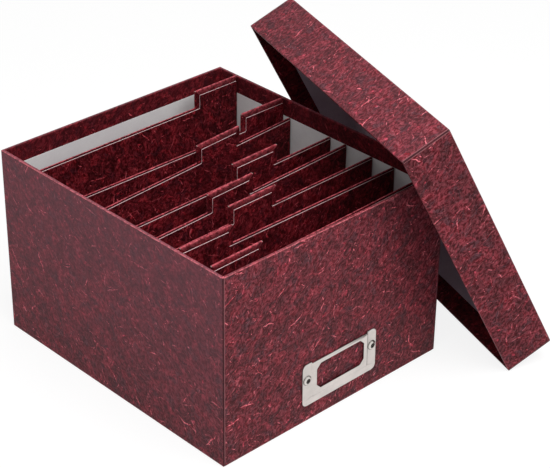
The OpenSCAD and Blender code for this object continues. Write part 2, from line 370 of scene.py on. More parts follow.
def make_box_wrap():
    """Outside sheet, rim, band inside and edges under the floor, in one closed skin."""
    board_foot = board_lo.z
    band_end = node_extent("box_wall_lining")[1].z
    lap_end = min(p.z for p in own_points("box_wrap") if board_foot + 1 < p.z < band_end)
    sheet = own_points("box_base_sheet")
    turn_in = box_hi.x - max(p.x for p in sheet if p.z > board_foot - NEAR)
    low = extent(sheet)[1].z - paper_t
    flat_low, flat_high = low + RIM_R + HOLD, box_hi.z - RIM_R - HOLD
    rows = [Row(turn_in, low), Row(turn_in - 2 * HOLD, low), Row(RIM_R + HOLD, low)]
    rows += [Row(d, low + z, d < RIM_R / 2, FOOT_RUB) for d, z in quarter(RIM_R)]
    rows += [Row(0.0, z, lap=True) for z in [flat_low] + steps(flat_low, flat_high)]
    rows += rim_rows(box_hi.z, 1, lap_end)
    rows += [Row(paper_t, board_foot), Row(turn_in, board_foot), rows[0]]
    piece = Piece("box_paper_wrap")
    # per side: edge wear with painted highlight, weaker on the right and the rear, and a grey painted sheen,
    # strongest on the left, faint on the front and fading towards the foot
    tray(piece, box_hi.x, box_hi.y, rows, lapped=(0, 2), rub_and_highlight=(0.85, 0.5, 0.3, 1.0),
         painted_sheen=(0.06, 0.6, 0.6, 1.0), grains=(45, 135, 45, 135), foot_sheen=0.15)
    piece.finish(UPRIGHT, "box", "box_wrap", "fibre_paper", [fibre_paper, cut_edge, shaded_inner_paper])


# ---- dividers

EDGE_R = 0.7  # rounding of the paper over a divider's edge
TAB_R = 1.4  # rounding of a tab's corners
FACING_R = 0.5  # rounding of a facing's corners
CUT_W = 0.34  # width of the slanted cut edge of a facing
CUT_LEFT = 0.45  # share of it on the left edges
CUT_RIGHT = 0.12  # and on the right ones, which were cut upright
CUT_FOOT = 0.03  # height of the upright part below the slant
UP = 0.7  # an edge faces the way in which its normal has more than this
SIDE_WEAR_AND_LIGHT = 0.12  # wear of the upright edges, as a share of the top edges' pale line of wear and painted highlight
FRONT_RUB_AND_LIGHT = (0.0, 0.0, 0.2, 0.7, 0.9)  # wear and painted highlight over an edge's rounding, from the front to the top
BACK_RUB_AND_LIGHT = (1.0, 1.0, 1.0, 0.7, 0.2)  # and from the top to the back
FOLD_LIGHT_AND_SHADE = {"tab": 0.45, "low": -0.8, "side": -0.3}  # on the fold in front of those edges: painted highlight by the tabs, painted shade by the low and upright edges
FOLD_FADE = 4.0  # that painted light and shade has nearly gone so far from the edge
FOLD_FAR, FOLD_NEAR = 0.1, 0.9  # shares of it that are left there and beside the edge's rounding
SHIFTS, GRAINS = (0, 900), (20, 160)  # least and most shift of a divider's pattern, and turn of its grain


def sheet_pattern():
    """Shift and grain of one sheet, drawn by chance."""
    shift = (dice.uniform(*SHIFTS), dice.uniform(*SHIFTS))
    return shift, dice.uniform(*GRAINS)


def tab_outline(points, grow, radius, notch_r):
    """Anticlockwise corners (x, z, radius) of a tabbed sheet, from the points of its CAD solid."""
    lo, hi = extent(points)
    tab = [p.x for p in points if p.z > hi.z - NEAR]
    low = max(p.z for p in points if p.z < hi.z - NEAR) + grow
    left, right, bottom, top = lo.x - grow, hi.x + grow, lo.z - grow, hi.z + grow
    tab_left, tab_right = min(tab) - grow, max(tab) + grow
    corners = [(left, bottom, radius), (right, bottom, radius)]
    if tab_right < right - NEAR:
        corners += [(right, low, radius), (tab_right, low, notch_r)]
    corners += [(tab_right, top, radius), (tab_left, top, radius)]
    if tab_left > left + NEAR:
        corners += [(tab_left, low, notch_r), (left, low, radius)]
    return corners


def wrap_outline(body, axes):
    """Corners of a divider's outline over its wrap."""
    return tab_outline(own_points(f"{body}_board", axes), paper_t, TAB_R, TAB_R / 2)


def divider_axes(body):
    """A divider's own axes: x along it, y out of its back, z up."""
    normal = largest_normal(f"{body}_board")
    back = normal if normal.y > 0 else -normal
    up = Vector((0, 0, 1))
    return axes_matrix(back.cross(up), back, up)


def stand(outline, y):
    """Lifts (x, z) points into a divider's own axes."""
    return [Vector((p.x, y, p.y)) for p in outline]


def fold_width(body, axes):
    """Width of the wrap's edge on the front: the rear part of the facing lies inside it."""
    pad = own_points(f"{body}_facing", axes)
    depth = max(p.y for p in pad)
    pad_left = min(p.x for p in pad if p.y > depth - NEAR)
    return pad_left - node_extent(f"{body}_wrap", axes)[0].x


def make_divider_wrap(body, axes):
    """Paper on the back of the board, round its edges and folded on to its front."""
    lo, hi = node_extent(f"{body}_wrap", axes)
    corners = wrap_outline(body, axes)
    fold = fold_width(body, axes)
    # inset, depth, share of the edge's wear and painted highlight, and share of the fold's painted light and
    # shade
    rows = [(fold, lo.y + paper_t, 0.0, 0.0), (fold, lo.y, 0.0, 0.0), (FOLD_FADE, lo.y, 0.0, FOLD_FAR)]
    rows += [(EDGE_R + HOLD, lo.y, 0.0, FOLD_NEAR)]
    rows += [(s, lo.y + y, rub_and_highlight, 1.0 - rub_and_highlight) for (s, y), rub_and_highlight in zip(quarter(EDGE_R), FRONT_RUB_AND_LIGHT)]
    rows += [(s, hi.y - y, rub_and_highlight, 0.0) for (y, s), rub_and_highlight in zip(quarter(EDGE_R), BACK_RUB_AND_LIGHT)]
    rows += [(EDGE_R + HOLD, hi.y, 0.0, 0.0)]
    rows.reverse()
    edge = rounded(corners)
    normals = outward(edge)
    tab_from = max(p.y for p in edge) - TAB_R
    # top edges get the full pale line, wear and painted highlight; upright edges only a little
    rubs_and_highlights = [max(n.y, SIDE_WEAR_AND_LIGHT) for n in normals]
    words = ["side" if n.y < UP else "tab" if p.y > tab_from else "low" for p, n in zip(edge, normals)]
    piece = Piece(f"{body}_paper_wrap")
    loops = []
    for inset, y, at_edge, at_fold in rows:
        wear_and_shading_values = [at_edge * rub_and_highlight + at_fold * FOLD_LIGHT_AND_SHADE[word] for rub_and_highlight, word in zip(rubs_and_highlights, words)]
        loops.append(piece.loop(stand(rounded(corners, inset), y), wear_and_shading_values))
    papers = [rounded(corners, EDGE_R + HOLD - run) for run in path_lengths(rows)]
    inner = rounded(corners, paper_t)
    loops += [piece.loop(stand(inner, lo.y + paper_t)), piece.loop(stand(inner, hi.y - paper_t))]
    piece.skin(loops, papers + [inner, inner])
    piece.finish(axes, body, f"{body}_wrap", "divider_paper", [divider_paper], *sheet_pattern())


def make_divider_facing(body, axes):
    """Sheet pasted on the front, with its pale cut edge all round."""
    points = own_points(f"{body}_facing", axes)
    lo, hi = extent(points)
    sheet_back = node_extent(f"{body}_wrap", axes)[0].y
    corners = tab_outline([p for p in points if p.y < lo.y + NEAR], 0.0, FACING_R, 2 * FACING_R)
    edge = rounded(corners)
    shares = [CUT_RIGHT if n.x > UP else CUT_LEFT if n.x < -UP else 1.0 for n in outward(edge)]
    piece = Piece(f"{body}_paper_facing")
    rows = [(CUT_W + HOLD, lo.y), (CUT_W, lo.y), (0.0, sheet_back - CUT_FOOT), (0.0, sheet_back)]
    loops, papers = [], []
    for inset, y in rows:
        shape = [a.lerp(b, share) for a, b, share in zip(edge, rounded(corners, inset), shares)]
        loops.append(piece.loop(stand(shape, y)))
        papers.append(shape)
    pad = rounded(wrap_outline(body, axes), fold_width(body, axes))
    loops += [piece.loop(stand(pad, sheet_back)), piece.loop(stand(pad, hi.y))]
    piece.skin(loops, papers + [pad, pad], cut_after=1)
    both = [divider_paper, facing_edge]
    piece.finish(axes, body, f"{body}_facing", "divider_paper", both, *sheet_pattern())


# ---- lid

LID_R = 1.0  # rounding of the lid's panel into its skirts
LID_RUB = 0.4  # wear over that rounding
LID_SHIFT = (5000, 0)  # shift of the lid's pattern from the box's
PANEL_SHIFT = 2000  # shift of the panel's pattern from the skirts'


def lid_axes():
    """The lid's own axes: x down the slope, y along it to the rear, z out of its panel."""
    normal = largest_normal("lid_lining")
    out = normal if normal.z > 0 else -normal
    along = Vector((0, 0, 1)).cross(out).normalized()
    return axes_matrix(along.cross(out), along, out)


def make_lid_wrap(axes):
    """Sheet over the panel and the skirts, round the rim and up inside."""
    lo, hi = node_extent("lid_wrap", axes)
    lap_end = max(p.z for p in own_points("lid_wrap", axes) if p.z < hi.z - LID_R)
    middle = (lo + hi) / 2
    flat_high, flat_low = hi.z - LID_R - HOLD, lo.z + RIM_R + HOLD
    rows = [Row(LID_R + HOLD, hi.z)]
    rows += [Row(d, hi.z - z, z > LID_R / 2, LID_RUB) for d, z in quarter(LID_R)]
    rows += [Row(0.0, z, lap=True) for z in [flat_high] + steps(flat_high, flat_low)]
    rows += rim_rows(lo.z, -1, lap_end) + [Row(paper_t, hi.z - paper_t)]
    piece = Piece("lid_paper_wrap")
    # little edge wear with painted highlight, and a faint grey painted sheen on the lid's right, rear and
    # left skirts
    loops = tray(piece, (hi.x - lo.x) / 2, (hi.y - lo.y) / 2, rows, lapped=(0, 1, 2, 3), rub_and_highlight=(0.2,) * 4,
                 painted_sheen=(0.0, 0.3, 0.3, 0.15), grains=(65, 81, 65, 81))
    for loop in (loops[0], loops[-1]):
        flat = [piece.points[k] for k in loop]
        piece.face(list(loop), [(p.x, p.y + PANEL_SHIFT) for p in flat])
    piece.points = [p + Vector((middle.x, middle.y, 0)) for p in piece.points]
    piece.finish(axes, "lid", "lid_wrap", "fibre_paper", [fibre_paper, cut_edge, shaded_inner_paper], LID_SHIFT)


# ---- label holder and rivets

METAL_R = 0.14  # rounding of the sheet metal's edges
FLAT = 0.22  # the sheet is flat again so far inside a rounded edge or outside a bend
RAMP = 0.9  # width of the bend up to the raised middle
RAMP_STEPS, UP_STEPS, ACROSS_STEPS = 6, 24, 36  # stretches over it, up beside it, and along it below
CREASE_AT = 0.25  # the painted shade line beside the bend, from its foot
CREASE_W = 0.4  # its half width
CREASE_RIGHT, CREASE_LOW = 0.9, 0.25  # its painted shade on the right and below
EDGE_DARK_AND_SHADOW = 0.85  # darkening of the sheet's cut edges: dark bare metal, and painted shadow along the plate
RIM_SHADOW = 0.6  # painted shadow on the rounding of the left and the upper edges
EAR_R = 4.0  # radius of the ears' corners, as in the frame
NOTCH_R = 0.4  # radius of the corners between an ear and the raised middle
WINDOW_R = 1.2  # radius of the window's corners
ARC = 5  # stretches round each corner


def middle_of(node):
    lo, hi = node_extent(node)
    return (lo + hi) / 2


def holder_axes():
    """The holder's own axes: x from rivet to rivet, y up its face, z out of the box."""
    out = Vector((0, -1, 0))
    along = (middle_of("label_rivet_right") - middle_of("label_rivet_left")).normalized()
    return axes_matrix(along, out.cross(along), out)


def window_corners(front):
    """Anticlockwise corners of the window, from the points on the raised middle's front."""
    lo, hi = extent(front)
    well_in = [p for p in front if lo.x + 1 < p.x < hi.x - 1 and lo.y + 1 < p.y < hi.y - 1]
    found = {(round(p.x, 2), round(p.y, 2)) for p in well_in}
    middle = sum((Vector(p) for p in found), Vector((0, 0))) / len(found)
    return sorted(found, key=lambda p: math.atan2(p[1] - middle.y, p[0] - middle.x))


def triangles(loops, spots):
    """Points and triangles of a net over loops and spots, with edges along each loop."""
    flat, edges = [], []
    for loop in loops:
        first = len(flat)
        flat += loop
        edges += [(first + k, first + (k + 1) % len(loop)) for k in range(len(loop))]
    verts, _, faces, _, _, _ = delaunay_2d_cdt(flat + spots, edges, [], 0, 1e-5)
    return verts, faces


def make_label_holder(axes):
    """One pressed sheet: flat ears and lower edge, raised middle with a window, open at the top."""
    points = own_points("label_holder", axes)
    lo, hi = extent(points)
    front = [p for p in points if p.z > hi.z - NEAR]
    pocket_lo, pocket_hi = extent(front)
    ear_z = min(p.z for p in points if p.z > lo.z + NEAR)
    thick = ear_z - lo.z
    outer = [(lo.x, lo.y, EAR_R), (hi.x, lo.y, EAR_R), (hi.x, hi.y, EAR_R), (pocket_hi.x, hi.y, NOTCH_R)]
    outer += [(pocket_hi.x, pocket_hi.y, NOTCH_R), (pocket_lo.x, pocket_hi.y, NOTCH_R)]
    outer += [(pocket_lo.x, hi.y, NOTCH_R), (lo.x, hi.y, EAR_R)]
    hole = [(x, y, WINDOW_R) for x, y in window_corners(front)]

    def height(p):
        """Front of the sheet, over the box's face."""
        reach = min(p.x - pocket_lo.x, pocket_hi.x - p.x, p.y - pocket_lo.y) / RAMP
        t = min(max(reach, 0.0), 1.0)
        return ear_z + (hi.z - ear_z) * t * t * (3 - 2 * t)

    def crease_shade(p):
        """Painted shade along the foot of the bend: plain on the right, faint below."""
        if p.y < pocket_lo.y:
            return 0.0
        sides = ((p.x - pocket_hi.x, CREASE_RIGHT), (p.y - pocket_lo.y, CREASE_LOW))
        return max(most * math.exp(-((away - CREASE_AT) / CREASE_W) ** 2) for away, most in sides)

    spots = []
    ramp = [RAMP * k / RAMP_STEPS for k in range(RAMP_STEPS + 1)]
    for s in [k * FLAT for k in range(-4, 0)] + ramp + [RAMP + FLAT]:
        left, right, bottom = pocket_lo.x + s, pocket_hi.x - s, pocket_lo.y + s
        ups = [bottom + (hi.y - bottom) * k / UP_STEPS for k in range(UP_STEPS + 1)]
        spots += [Vector((x, y)) for y in ups for x in (left, right)]
        spots += [Vector((left + (right - left) * k / ACROSS_STEPS, bottom)) for k in range(1, ACROSS_STEPS)]
    rim, window = rounded(outer, METAL_R, ARC), rounded(hole, -METAL_R, ARC)
    rim_held, window_held = rounded(outer, METAL_R + FLAT, ARC), rounded(hole, -METAL_R - FLAT, ARC)
    spots = [p for p in spots if inside(p, rim_held) and not inside(p, window_held)]
    verts, faces = triangles((rim, window, rim_held, window_held), spots)

    piece = Piece("label_holder_plate")
    # the top carries the painted shade line beside the bend
    top = [piece.point((p.x, p.y, height(p)), crease_shade(p)) for p in verts]
    under = [piece.point((p.x, p.y, height(p) - thick)) for p in verts]
    for face in faces:
        centre = sum((verts[k] for k in face), Vector((0, 0))) / 3
        if inside(centre, rim) and not inside(centre, window):
            for sheet, turn in ((top, face), (under, face[::-1])):
                piece.face([sheet[k] for k in turn], [tuple(verts[k]) for k in turn])

    def key(p):
        return round(p.x, 4), round(p.y, 4)

    at = {key(p): k for k, p in enumerate(verts)}
    for corners, loop in ((outer, rim), (hole, window)):
        ids = [at[key(p)] for p in loop]
        for k, n in zip(ids, outward(loop)):
            # painted shadow on the rim's left and upper edges
            if loop is rim and (n.x < -0.3 or n.y > 0.5):
                piece.wear[top[k]] = RIM_SHADOW
        wall = rounded(corners, 0.0, ARC)
        # cut edges darkened: dark bare metal, and painted shadow
        upper = piece.loop([(p.x, p.y, height(e) - METAL_R) for p, e in zip(wall, loop)], EDGE_DARK_AND_SHADOW)
        lower = piece.loop([(p.x, p.y, height(e) - thick + METAL_R) for p, e in zip(wall, loop)], EDGE_DARK_AND_SHADOW)
        rings = [[top[k] for k in ids], upper, lower, [under[k] for k in ids]]
        for one, two in zip(rings, rings[1:]):
            piece.bridge(one, two, wall, wall)
    piece.finish(axes, "box", "label_holder", "nickel", [satin_nickel])


BRIM = 0.35  # rounding of a rivet head's lower edge
SEAT_R = 0.05  # bevel where the head meets the plate
LIP = 0.3  # rounding of the edge of the hollow in a rivet's head
HOLLOW = ((0.35, 0.0), (0.8, 0.1), (1.0, 0.35))  # share of the hollow's radius, height over its floor
DOME_STEPS, TURNS = 10, 48  # stretches from the hollow to the brim, and round a rivet
RIVET_DARK = 0.95  # darkening in the hollow, and a painted dark reflection at the brim
DARK_TO = 2.0  # it reaches so far from the middle, in radii of the hollow
BRIM_FROM = 0.64  # and starts again so far out, in radii of the head


def make_rivet(side):
    """Round head with a hollow in its middle, shank and closed tail, turned about the rivet's axis."""
    node = f"label_rivet_{side}"
    lo, hi = node_extent(node)
    centre = middle_of(node)
    centre.y = 0
    rings = [(Vector((p.x - centre.x, p.z - centre.z)).length, p.y) for p in own_points(node)]
    head_r = max(r for r, _ in rings)
    seat = max(y for r, y in rings if r > head_r - NEAR)
    tail_r = max(r for r, y in rings if y > hi.y - NEAR)
    tail_y = min(y for r, y in rings if y > seat + 1 and r > tail_r - NEAR)
    shank_r = min(r for r, y in rings if seat - NEAR < y < tail_y + NEAR and r > NEAR)
    hollow_r = min(r for r, y in rings if y < seat and r > NEAR)
    hollow_y = max(y for r, y in rings if y < seat and r < hollow_r + NEAR)
    head_h = seat - lo.y
    ball_r = (head_r ** 2 + head_h ** 2) / (2 * head_h)

    def dome(radius):
        return lo.y + ball_r - math.sqrt(ball_r ** 2 - radius ** 2)

    def hollow_and_brim_dark(radius):
        """Darkening in the hollow, and a painted dark reflection towards the brim."""
        edge = min(max((radius / head_r - BRIM_FROM) / (1 - BRIM_FROM), 0.0), 1.0)
        return RIVET_DARK * (1.0 if radius < hollow_r * DARK_TO else edge * edge)

    lip_r = hollow_r + LIP
    span = head_r - BRIM - lip_r
    profile = [(share * hollow_r, hollow_y - up) for share, up in HOLLOW]
    profile += [(hollow_r, dome(hollow_r) + LIP * 1.2)]
    profile += [(hollow_r + a, dome(lip_r) + b) for b, a in quarter(LIP)]
    profile += [(r, dome(r)) for r in (lip_r + span * k / DOME_STEPS for k in range(1, DOME_STEPS + 1))]
    profile += [(head_r, seat - BRIM * 0.45), (head_r, seat - SEAT_R), (head_r - SEAT_R, seat)]
    profile += [(shank_r, seat), (shank_r, tail_y), (tail_r, tail_y), (tail_r, hi.y), (tail_r / 2, hi.y)]
    circle = [(math.cos(a), math.sin(a)) for a in (2 * math.pi * k / TURNS for k in range(TURNS))]
    flat = [(head_r * c, head_r * s) for c, s in circle]
    piece = Piece(f"{node}_turned")
    # each ring is darkened: the hollow, and a painted dark reflection towards the brim
    loops = [piece.loop([centre + Vector((r * c, y, r * s)) for c, s in circle], hollow_and_brim_dark(r)) for r, y in profile]
    piece.skin(loops, [flat] * len(loops))
    piece.finish(UPRIGHT, "box", node, "nickel", [bright_nickel])


# ---- materials

class Nodes:
    """Adds shader nodes to a tree. add() gives the new node, and the calls below it give its output."""

    def __init__(self, tree):
        self.tree = tree

    def feed(self, node, inputs):
        """Links or sets a node's inputs. Colours are given as red, green and blue."""
        for key, value in inputs.items():
            socket = node.inputs[key]
            if isinstance(value, bpy.types.NodeSocket):
                self.tree.links.new(value, socket)
            else:
                socket.default_value = (*value, 1.0) if socket.type == "RGBA" else value

    def add(self, kind, inputs=None, **settings):
        made = self.tree.nodes.new("ShaderNode" + kind)
        for key, value in settings.items():
            setattr(made, key, value)
        self.feed(made, inputs or {})
        return made

    def math(self, operation, a, b=0.0, c=0.0):
        return self.add("Math", {0: a, 1: b, 2: c}, operation=operation).outputs[0]

    def times(self, a, b):
        return self.math("MULTIPLY", a, b)

    def vector(self, operation, a, b=(0.0, 0.0, 0.0)):
        return self.add("VectorMath", {0: a, 1: b}, operation=operation).outputs[0]

    def scaled(self, vector, factor):
        return self.add("VectorMath", {0: vector, "Scale": factor}, operation="SCALE").outputs[0]

    def noise(self, vector, size, detail=2.0, rough=0.5, warp=0.0, dimensions="2D", output=0):
        """Noise from 0 to 1 whose features are about size metres."""
        inputs = {"Vector": vector, "Scale": 1 / size, "Detail": detail, "Roughness": rough,
                  "Distortion": warp}
        return self.add("TexNoise", inputs, noise_dimensions=dimensions).outputs[output]

    def between(self, value, low, high, to_low=0.0, to_high=1.0):
        """Value from low to high as a smooth step from to_low to to_high."""
        inputs = {"Value": value, "From Min": low, "From Max": high, "To Min": to_low, "To Max": to_high}
        return self.add("MapRange", inputs, interpolation_type="SMOOTHSTEP").outputs[0]

    def mix(self, factor, a, b):
        return self.add("Mix", {0: factor, 6: a, 7: b}, data_type="RGBA").outputs[2]

    def split(self, vector):
        return self.add("SeparateXYZ", {0: vector}).outputs

    def mark(self, name):
        """A piece's mark: its wear with painted light and shade, or its painted sheen."""
        return self.add("Attribute", attribute_name=name).outputs["Fac"]


class Surface(Nodes):
    """A new material. Its pattern follows the object's own place or, as "UV", the paper."""

    def __init__(self, name, place="Object"):
        self.material = bpy.data.materials.new(name)
        self.material.use_nodes = True
        super().__init__(self.material.node_tree)
        self.place = self.add("TexCoord").outputs[place]

    def solid(self, size, detail, rough, warp=0.0):
        """Noise that fills space."""
        return self.noise(self.place, size, detail, rough, warp, "3D")

    def relief(self, height, strength, distance):
        inputs = {"Strength": strength, "Distance": distance, "Height": height}
        return self.add("Bump", inputs).outputs[0]

    def finish(self, ground, rough, level=0.5, **others):
        """Feeds the shader: others go by the names of its inputs."""
        inputs = {"Base Color": ground, "Roughness": rough, "Specular IOR Level": level, **others}
        self.feed(self.tree.nodes["Principled BSDF"], inputs)
        return self.material


FIBRE_SIZES = ("Cell", "Reach", "Width", "Bend", "Share")


def fibre_group():
    """One bent fibre in each cell of a random pattern: its cover, and its own random number."""
    tree = bpy.data.node_groups.new("scattered_fibres", "ShaderNodeTree")
    tree.interface.new_socket("Vector", in_out="INPUT", socket_type="NodeSocketVector")
    for name in FIBRE_SIZES:
        tree.interface.new_socket(name, in_out="INPUT", socket_type="NodeSocketFloat")
    for name in ("Cover", "Chance"):
        tree.interface.new_socket(name, in_out="OUTPUT", socket_type="NodeSocketFloat")
    net = Nodes(tree)
    given = tree.nodes.new("NodeGroupInput").outputs
    grid = net.scaled(given["Vector"], net.math("DIVIDE", 1.0, given["Cell"]))
    cells = net.add("TexVoronoi", {"Vector": grid, "Scale": 1.0}, voronoi_dimensions="2D")
    chance = net.split(cells.outputs["Color"])
    own = net.vector("SUBTRACT", grid, cells.outputs["Position"])
    angle = net.times(chance[0], 2 * math.pi)
    turned = net.add("VectorRotate", {"Vector": own, "Angle": angle}, rotation_type="Z_AXIS")
    x, y, _ = net.split(turned.outputs[0])
    bend = net.times(net.math("SUBTRACT", chance[1], 0.5), given["Bend"])
    y = net.math("SUBTRACT", y, net.times(bend, net.times(x, x)))
    reach = net.times(given["Reach"], net.math("MULTIPLY_ADD", chance[2], 0.7, 0.3))
    along = net.math("DIVIDE", net.math("ABSOLUTE", x), reach)
    taper = net.math("MAXIMUM", net.math("SUBTRACT", 1.0, net.times(along, along)), 0.0)
    half = net.times(net.math("DIVIDE", given["Width"], given["Cell"]), taper)
    cover = net.between(net.math("ABSOLUTE", y), half, net.times(half, 0.2))
    kept = net.math("LESS_THAN", net.math("FRACT", net.times(chance[2], 17.3)), given["Share"])
    cover = net.times(cover, net.times(kept, net.math("LESS_THAN", along, 1.0)))
    other = net.math("FRACT", net.times(chance[1], 9.7))
    net.feed(tree.nodes.new("NodeGroupOutput"), {"Cover": cover, "Chance": other})
    return tree


# Layers of scattered fibres: tone, strength and FIBRE_SIZES. These are the size of a cell of the pattern,
# the reach as a share of it, the half width, the bend, and the share of the cells that hold a fibre.
LAYERS = (("haze", 0.3, 0.0036, 0.47, 0.00030, 1.2, 0.80), ("dark", 0.4, 0.0043, 0.47, 0.00030, 1.3, 0.80),
          ("soft", 0.9, 0.0058, 0.46, 0.00024, 1.4, 0.60), ("dark", 0.8, 0.0070, 0.46, 0.00032, 1.4, 0.60),
          ("light", 0.6, 0.0085, 0.46, 0.00028, 1.2, 0.30), ("light", 0.9, 0.0120, 0.46, 0.00042, 0.9, 0.32),
          ("light", 1.0, 0.0200, 0.42, 0.00056, 0.6, 0.38))
TUFTS = (0.0040, 0.47, 0.00026, 1.0, 0.95)  # light tufts
FLUSH = (0.0140, 0.15, 0.00150, 2.0, 0.65)  # wide flushed spots
TUFTS_ORDER, FLUSH_ORDER = 7, 9

# Clouds in the ground: tone, size, offset, noise where each starts and where it is full, and its most.
CLOUDS = (("middle", 0.0140, 0.0, 0.38, 0.62, 1.0), ("warm", 0.0085, 0.3, 0.48, 0.66, 0.8),
          ("grey", 0.0070, 0.6, 0.52, 0.68, 0.7))

GRAIN_STRETCH = 0.78  # how much the pattern is drawn out along the grain
BENT = 0.0045  # how far the pattern is bent, in metres
LEAST = (0.12, 0.12, 0.12)  # how far the fine pattern may darken the paper
SHEEN_SHARE = 0.28  # how far paper under the strongest painted sheen has lost its pattern


def fibres(net, vector, order, sizes):
    """A layer's cover and its fibres' own random numbers. order keeps the layers' patterns apart."""
    moved = net.vector("ADD", vector, (order * 0.0371, order * 0.0533, 0.0))
    node = net.tree.nodes.new("ShaderNodeGroup")
    node.node_tree = fibre
    net.feed(node, {"Vector": moved, **dict(zip(FIBRE_SIZES, sizes))})
    return node.outputs["Cover"], node.outputs["Chance"]


def knots(net, place):
    """Sparse dark rings, a few millimetres across and open on one side."""
    inputs = {"Vector": net.scaled(place, 1 / 0.042), "Scale": 1.0}
    cells = net.add("TexVoronoi", inputs, voronoi_dimensions="2D")
    chance = net.split(cells.outputs["Color"])
    ring = net.math("SUBTRACT", cells.outputs["Distance"], net.math("MULTIPLY_ADD", chance[0], 0.05, 0.045))
    line = net.between(net.math("ABSOLUTE", ring), 0.012, 0.002)
    gap = net.between(net.noise(place, 0.004, 1.0), 0.40, 0.55)
    return net.times(net.times(line, gap), net.math("LESS_THAN", chance[1], 0.35))


def paper_material(name, rough, level, tones, plain=False):
    """Fibre paper: cloudy ground, tangled fine hairs, and scattered fibres. Its grain runs along X.
    plain is for a CAD node, which has no paper coordinates."""
    net = Surface(name, "Object" if plain else "UV")
    warp = net.vector("SUBTRACT", net.noise(net.place, 0.010, 2.0, output="Color"), (0.5, 0.5, 0.5))
    place = net.vector("ADD", net.place, net.scaled(warp, BENT))
    grained = net.vector("MULTIPLY", place, (GRAIN_STRETCH, 1.0, 1.0))

    def field(size, offset, detail=2.0, rough=0.55, warp=0.5, source=grained):
        return net.noise(net.vector("ADD", source, (offset, offset * 0.7, 0.0)), size, detail, rough, warp)

    ground = tones["deep"]
    for tint, size, offset, low, high, most in CLOUDS:
        share = net.between(field(size, offset, 3.0), low, high, 0.0, most)
        ground = net.mix(share, ground, tones[tint])
    patch = field(0.0034, 2.1, 2.0, 0.6, 1.2)
    ground = net.mix(net.between(patch, 0.54, 0.72, 0.0, 0.3), ground, tones["soft"])
    ground = net.mix(net.between(patch, 0.46, 0.30, 0.0, 0.4), ground, tones["dark"])

    cover, chance = fibres(net, place, FLUSH_ORDER, FLUSH)
    broken = net.between(field(0.0016, 2.4, 2.0, 0.6, 1.0), 0.38, 0.56, 0.0, 0.9)
    flush = net.times(net.times(cover, broken), net.math("MULTIPLY_ADD", chance, 0.6, 0.4))
    ground = net.mix(flush, ground, tones["flush"])

    relief = field(0.0016, 1.1)
    for order, (tint, strength, *sizes) in enumerate(LAYERS):
        cover, chance = fibres(net, grained, order, sizes)
        shown = net.math("MULTIPLY_ADD", chance, 0.75 * strength, 0.25 * strength)
        ground = net.mix(net.times(cover, shown), ground, tones[tint])
        relief = net.math("ADD", relief, cover)
    cover, _ = fibres(net, grained, TUFTS_ORDER, TUFTS)
    tuft = net.times(cover, net.between(field(0.009, 1.8, 1.0), 0.58, 0.66, 0.0, 0.9))
    ground = net.mix(tuft, ground, tones["light"])
    ground = net.mix(net.times(knots(net, place), 0.7), ground, tones["dark"])

    painted_sheen = net.mark("painted_sheen")
    # fine hairs and flecks, even in all channels: the paper's own hairs, and painted shading and sheen of its
    # small bumps
    hair = net.math("ABSOLUTE", net.math("SUBTRACT", field(0.0026, 1.2, 2.0, 0.6, 2.0), 0.5))
    fleck = field(0.0017, 0.9, 1.5, 0.55, 0.6, net.vector("MULTIPLY", place, (0.7, 1.0, 1.0)))
    hair = net.between(hair, 0.10, 0.0, -0.25, 0.45)
    fine = net.math("ADD", hair, net.math("MULTIPLY_ADD", fleck, 9.0, -4.5))
    fine = net.math("MAXIMUM", net.math("MINIMUM", fine, 1.0), -1.0)
    grit_and_shading = net.scaled(tones["grit_and_shading"], net.times(fine, net.math("MULTIPLY_ADD", painted_sheen, -0.15, 1.0)))
    gain = net.vector("MAXIMUM", net.vector("ADD", grit_and_shading, (1.0, 1.0, 1.0)), LEAST)
    ground = net.vector("MULTIPLY", ground, gain)

    # painted sheen: a pale grey veil over the paper where the piece marks it
    ground = net.mix(net.times(painted_sheen, SHEEN_SHARE), ground, tones["sheen"])
    # pale edges, wear and painted highlight; below 0, darkened seams and painted shade in folds
    wear = net.mark("wear")
    uneven = net.between(net.noise(place, 0.0030, 3.0, 0.7), 0.38, 0.62, 0.2, 1.0)
    ground = net.mix(net.times(net.math("MAXIMUM", wear, 0.0), uneven), ground, tones["wear_and_highlight"])
    ground = net.mix(net.math("MAXIMUM", net.times(wear, -0.8), 0.0), ground, tones["seam_and_shade"])
    roughness = net.between(fleck, 0.3, 0.7, rough - 0.06, rough + 0.06)
    return net.finish(ground, roughness, level, Normal=net.relief(relief, 0.35, 0.0002))


def edge_material(name, tint, dark):
    """Cut edge of paper: its pale core, with specks of the dyed fibres."""
    net = Surface(name)
    speck = net.between(net.solid(0.0018, 3.0, 0.7), 0.45, 0.75, 0.0, 0.5)
    patch = net.between(net.solid(0.018, 1.0, 0.5), 0.5, 0.75, 0.0, 0.4)
    return net.finish(net.mix(net.math("ADD", speck, patch), tint, dark), 0.8, 0.3)


def lining_material(name, pale, cloudy, hairy):
    """Grey lining paper with a faint cloud and short fibres."""
    net = Surface(name)
    cloud = net.between(net.solid(0.03, 3.0, 0.6), 0.35, 0.65)
    hairs = net.solid(0.003, 2.0, 0.5, 1.5)
    hair = net.between(net.math("ABSOLUTE", net.math("SUBTRACT", hairs, 0.5)), 0.03, 0.0, 0.0, 0.35)
    ground = net.mix(hair, net.mix(cloud, cloudy, pale), hairy)
    return net.finish(ground, 0.75, 0.3, Normal=net.relief(hairs, 0.2, 0.0001))


